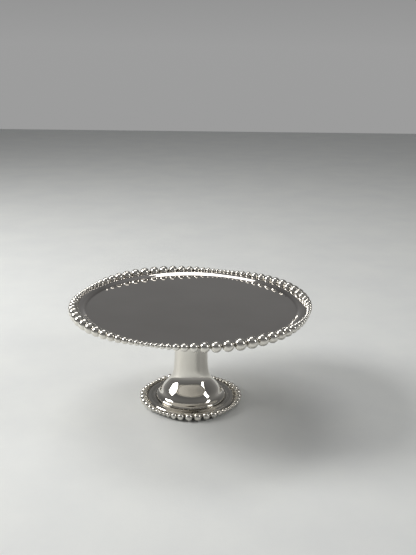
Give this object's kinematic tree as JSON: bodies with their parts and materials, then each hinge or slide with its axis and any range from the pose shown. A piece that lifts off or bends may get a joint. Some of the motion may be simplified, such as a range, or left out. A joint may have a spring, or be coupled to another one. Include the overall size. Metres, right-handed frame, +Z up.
{
  "type": "tiered cake stand",
  "caption": "Round mirror-polished metal cake stand: a shallow recessed tray with a graduated beaded rim on a hollow trumpet pedestal with a beaded foot.",
  "frame": {"origin": "centre of the foot circle on the surface the stand rests on", "axes": "+Z up along the pedestal axis; +X and +Y level, with the side shown to a viewer facing -Y"},
  "size_m": [0.3014, 0.3014, 0.1388],
  "materials": {
    "tray_metal": "mirror polished, nickel toned",
    "pedestal_metal": "mirror polished, nickel toned",
    "bead_metal": "mirror polished, slightly dark between the beads",
    "fastener_steel": "zinc plated",
    "pad_rubber": "matte"
  },
  "bodies": {
    "root": {"plate": "tray_metal", "rim_beading_1": "bead_metal", "rim_beading_2": "bead_metal", "rim_beading_3": "bead_metal", "rim_beading_4": "bead_metal", "plate_boss": "tray_metal", "mounting_stud": "fastener_steel", "pedestal": "pedestal_metal", "foot_flange": "pedestal_metal", "base_beading_1": "bead_metal", "base_beading_2": "bead_metal", "base_beading_3": "bead_metal", "base_beading_4": "bead_metal", "flat_washer": "fastener_steel", "lock_washer": "fastener_steel", "hex_nut": "fastener_steel", "foot_pad_1": "pad_rubber", "foot_pad_2": "pad_rubber", "foot_pad_3": "pad_rubber", "foot_pad_4": "pad_rubber"}
  },
  "joints": []
}
